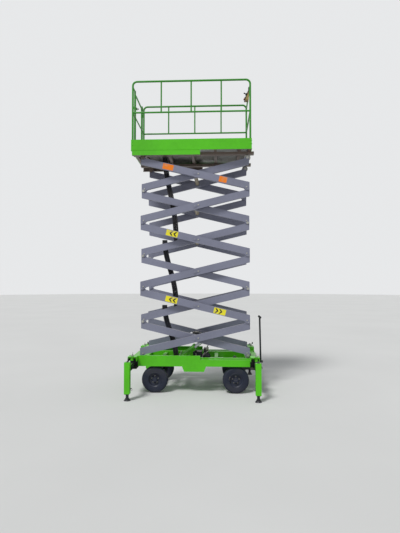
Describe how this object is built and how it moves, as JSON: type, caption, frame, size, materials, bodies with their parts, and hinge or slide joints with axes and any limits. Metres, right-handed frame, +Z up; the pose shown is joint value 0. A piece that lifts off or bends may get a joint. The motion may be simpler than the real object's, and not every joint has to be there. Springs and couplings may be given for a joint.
{
  "type": "towable scissor lift",
  "caption": "Towable scissor lift with a guarded work platform, a six-level scissor stack, outriggers and a steered axle.",
  "frame": {"origin": "on the ground at the middle of the footprint", "axes": "+X towards the tow bar, +Y to the far side, +Z up"},
  "size_m": [2.3259, 2.172, 5.438],
  "materials": {
    "arm_paint": "satin blue-grey enamel",
    "green_paint": "gloss lime green enamel",
    "black_paint": "satin black",
    "rim_paint": "satin dark grey",
    "zinc": "zinc plated",
    "zinc_dark": "dark phosphated steel",
    "roller_steel": "turned",
    "chrome": "hard chrome",
    "tyre": "matt",
    "rubber": "matt",
    "deck_plate": "checkered plate",
    "plastic_black": "moulded"
  },
  "bodies": {
    "chassis": {"chassis_frame": "green_paint", "end_beam_rear": "green_paint", "end_beam_front": "green_paint", "axle_rear": "black_paint", "power_unit": "black_paint", "hoses_1": "rubber"},
    "front_axle": {"axle_front": "black_paint"},
    "tow_bar": {"tow_bar": "black_paint"},
    "outer_1": {"arm_outer_1": "arm_paint", "pins_outer_1": "zinc"},
    "inner_1": {"arm_inner_1": "arm_paint", "pins_inner_1": "zinc"},
    "outer_2": {"arm_outer_2": "arm_paint", "pins_outer_2": "zinc"},
    "inner_2": {"arm_inner_2": "arm_paint", "pins_inner_2": "zinc"},
    "outer_3": {"arm_outer_3": "arm_paint", "pins_outer_3": "zinc"},
    "inner_3": {"arm_inner_3": "arm_paint", "pins_inner_3": "zinc"},
    "outer_4": {"arm_outer_4": "arm_paint", "pins_outer_4": "zinc"},
    "inner_4": {"arm_inner_4": "arm_paint", "pins_inner_4": "zinc", "hoses_2": "rubber"},
    "outer_5": {"arm_outer_5": "arm_paint", "pins_outer_5": "zinc"},
    "inner_5": {"arm_inner_5": "arm_paint", "pins_inner_5": "zinc"},
    "outer_6": {"arm_outer_6": "arm_paint", "pins_outer_6": "zinc"},
    "inner_6": {"arm_inner_6": "arm_paint", "pins_inner_6": "zinc"},
    "roller_bottom": {"roller_bottom": "roller_steel"},
    "roller_top": {"roller_top": "roller_steel"},
    "barrels": {"cylinder_barrels": "black_paint"},
    "rods": {"cylinder_rods": "chrome"},
    "platform": {"platform_frame": "green_paint", "platform_deck": "deck_plate", "toe_boards": "green_paint", "guard_rails": "green_paint", "control_box": "plastic_black", "hoses_3": "rubber"},
    "gate": {"gate": "green_paint"},
    "wheel_rear_near": {"tyre_rear_near": "tyre", "rim_rear_near": "rim_paint"},
    "outrigger_rear_near": {"outrigger_rear_near": "green_paint"},
    "jack_rear_near": {"jack_rear_near": "zinc_dark"},
    "wheel_rear_far": {"tyre_rear_far": "tyre", "rim_rear_far": "rim_paint"},
    "outrigger_rear_far": {"outrigger_rear_far": "green_paint"},
    "jack_rear_far": {"jack_rear_far": "zinc_dark"},
    "wheel_front_near": {"tyre_front_near": "tyre", "rim_front_near": "rim_paint"},
    "outrigger_front_near": {"outrigger_front_near": "green_paint"},
    "jack_front_near": {"jack_front_near": "zinc_dark"},
    "wheel_front_far": {"tyre_front_far": "tyre", "rim_front_far": "rim_paint"},
    "outrigger_front_far": {"outrigger_front_far": "green_paint"},
    "jack_front_far": {"jack_front_far": "zinc_dark"}
  },
  "joints": [
    {"name": "lift", "type": "hinge", "parent": "chassis", "child": "outer_1", "pos_m": [-0.963, 0, 0.632], "axis": [0, -1, 0], "range_deg": [-13.5, 36], "deforming": ["hoses_1", "hoses_2", "hoses_3"]},
    {"name": "centre_1", "type": "hinge", "parent": "outer_1", "child": "inner_1", "pos_m": [-0.04109, 0, 0.9205], "axis": [0, -1, 0], "range_deg": [-72.04, 27.01]},
    {"name": "node_1", "type": "hinge", "parent": "outer_1", "child": "outer_2", "pos_m": [0.88083, 0, 1.209], "axis": [0, -1, 0], "range_deg": [-72.04, 27.01]},
    {"name": "centre_2", "type": "hinge", "parent": "outer_2", "child": "inner_2", "pos_m": [-0.04109, 0, 1.4975], "axis": [0, -1, 0], "range_deg": [-27.01, 72.04]},
    {"name": "node_2", "type": "hinge", "parent": "outer_2", "child": "outer_3", "pos_m": [-0.963, 0, 1.786], "axis": [0, -1, 0], "range_deg": [-27.01, 72.04]},
    {"name": "centre_3", "type": "hinge", "parent": "outer_3", "child": "inner_3", "pos_m": [-0.04109, 0, 2.0745], "axis": [0, -1, 0], "range_deg": [-72.04, 27.01]},
    {"name": "node_3", "type": "hinge", "parent": "outer_3", "child": "outer_4", "pos_m": [0.88083, 0, 2.363], "axis": [0, -1, 0], "range_deg": [-72.04, 27.01]},
    {"name": "centre_4", "type": "hinge", "parent": "outer_4", "child": "inner_4", "pos_m": [-0.04109, 0, 2.6515], "axis": [0, -1, 0], "range_deg": [-27.01, 72.04]},
    {"name": "node_4", "type": "hinge", "parent": "outer_4", "child": "outer_5", "pos_m": [-0.963, 0, 2.94], "axis": [0, -1, 0], "range_deg": [-27.01, 72.04]},
    {"name": "centre_5", "type": "hinge", "parent": "outer_5", "child": "inner_5", "pos_m": [-0.04109, 0, 3.2285], "axis": [0, -1, 0], "range_deg": [-72.04, 27.01]},
    {"name": "node_5", "type": "hinge", "parent": "outer_5", "child": "outer_6", "pos_m": [0.88083, 0, 3.517], "axis": [0, -1, 0], "range_deg": [-72.04, 27.01]},
    {"name": "centre_6", "type": "hinge", "parent": "outer_6", "child": "inner_6", "pos_m": [-0.04109, 0, 3.8055], "axis": [0, -1, 0], "range_deg": [-27.01, 72.04]},
    {"name": "platform_level", "type": "hinge", "parent": "outer_6", "child": "platform", "pos_m": [-0.963, 0, 4.094], "axis": [0, -1, 0], "range_deg": [-13.51, 36.02]},
    {"name": "roller_bottom_spin", "type": "hinge", "parent": "inner_1", "child": "roller_bottom", "pos_m": [0.88083, 0, 0.632], "axis": [0, -1, 0], "continuous": true},
    {"name": "roller_top_spin", "type": "hinge", "parent": "inner_6", "child": "roller_top", "pos_m": [0.88083, 0, 4.094], "axis": [0, -1, 0], "continuous": true},
    {"name": "barrel_swing", "type": "hinge", "parent": "chassis", "child": "barrels", "pos_m": [-0.3797, 0, 0.4733], "axis": [0, -1, 0], "range_deg": [-16.69, 44.52]},
    {"name": "rod_slide", "type": "slide", "parent": "barrels", "child": "rods", "axis": [0.7932, 0, 0.609], "range_m": [-0.05141, 0.1371]},
    {"name": "gate_hinge", "type": "hinge", "parent": "platform", "child": "gate", "pos_m": [-1.1297, 0.34, 4.8], "axis": [0, 0, 1], "range_deg": [0, 90]},
    {"name": "steer", "type": "hinge", "parent": "chassis", "child": "front_axle", "pos_m": [0.662, 0, 0.4], "axis": [0, 0, 1], "range_deg": [-25, 25]},
    {"name": "tow_bar_hinge", "type": "hinge", "parent": "front_axle", "child": "tow_bar", "pos_m": [1.137, 0, 0.34], "axis": [0, 1, 0], "range_deg": [0, 90]},
    {"name": "spin_rear_near", "type": "hinge", "parent": "chassis", "child": "wheel_rear_near", "pos_m": [-0.729, -0.4815, 0.226], "axis": [0, 1, 0], "continuous": true},
    {"name": "fold_rear_near", "type": "hinge", "parent": "chassis", "child": "outrigger_rear_near", "pos_m": [-1.098, -0.665, 0.5], "axis": [0, 0, 1], "range_deg": [0, 90]},
    {"name": "jack_slide_rear_near", "type": "slide", "parent": "outrigger_rear_near", "child": "jack_rear_near", "axis": [0, 0, 1], "range_m": [-0.2, 0.07]},
    {"name": "spin_rear_far", "type": "hinge", "parent": "chassis", "child": "wheel_rear_far", "pos_m": [-0.729, 0.4815, 0.226], "axis": [0, 1, 0], "continuous": true},
    {"name": "fold_rear_far", "type": "hinge", "parent": "chassis", "child": "outrigger_rear_far", "pos_m": [-1.098, 0.665, 0.5], "axis": [0, 0, -1], "range_deg": [0, 90]},
    {"name": "jack_slide_rear_far", "type": "slide", "parent": "outrigger_rear_far", "child": "jack_rear_far", "axis": [0, 0, 1], "range_m": [-0.2, 0.07]},
    {"name": "spin_front_near", "type": "hinge", "parent": "front_axle", "child": "wheel_front_near", "pos_m": [0.662, -0.4815, 0.226], "axis": [0, 1, 0], "continuous": true},
    {"name": "fold_front_near", "type": "hinge", "parent": "chassis", "child": "outrigger_front_near", "pos_m": [1.002, -0.665, 0.5], "axis": [0, 0, -1], "range_deg": [0, 90]},
    {"name": "jack_slide_front_near", "type": "slide", "parent": "outrigger_front_near", "child": "jack_front_near", "axis": [0, 0, 1], "range_m": [-0.2, 0.07]},
    {"name": "spin_front_far", "type": "hinge", "parent": "front_axle", "child": "wheel_front_far", "pos_m": [0.662, 0.4815, 0.226], "axis": [0, 1, 0], "continuous": true},
    {"name": "fold_front_far", "type": "hinge", "parent": "chassis", "child": "outrigger_front_far", "pos_m": [1.002, 0.665, 0.5], "axis": [0, 0, 1], "range_deg": [0, 90]},
    {"name": "jack_slide_front_far", "type": "slide", "parent": "outrigger_front_far", "child": "jack_front_far", "axis": [0, 0, 1], "range_m": [-0.2, 0.07]}
  ],
  "couplings": [
    {"joint": "centre_1", "follows": "lift", "ratio": -2},
    {"joint": "node_1", "follows": "lift", "ratio": -2},
    {"joint": "centre_2", "follows": "lift", "ratio": 2},
    {"joint": "node_2", "follows": "lift", "ratio": 2},
    {"joint": "centre_3", "follows": "lift", "ratio": -2},
    {"joint": "node_3", "follows": "lift", "ratio": -2},
    {"joint": "centre_4", "follows": "lift", "ratio": 2},
    {"joint": "node_4", "follows": "lift", "ratio": 2},
    {"joint": "centre_5", "follows": "lift", "ratio": -2},
    {"joint": "node_5", "follows": "lift", "ratio": -2},
    {"joint": "centre_6", "follows": "lift", "ratio": 2},
    {"joint": "platform_level", "follows": "lift", "ratio": 1},
    {"joint": "barrel_swing", "follows": "lift", "ratio": 1.236},
    {"joint": "rod_slide", "follows": "lift", "m_per_rad": 0.2181}
  ]
}
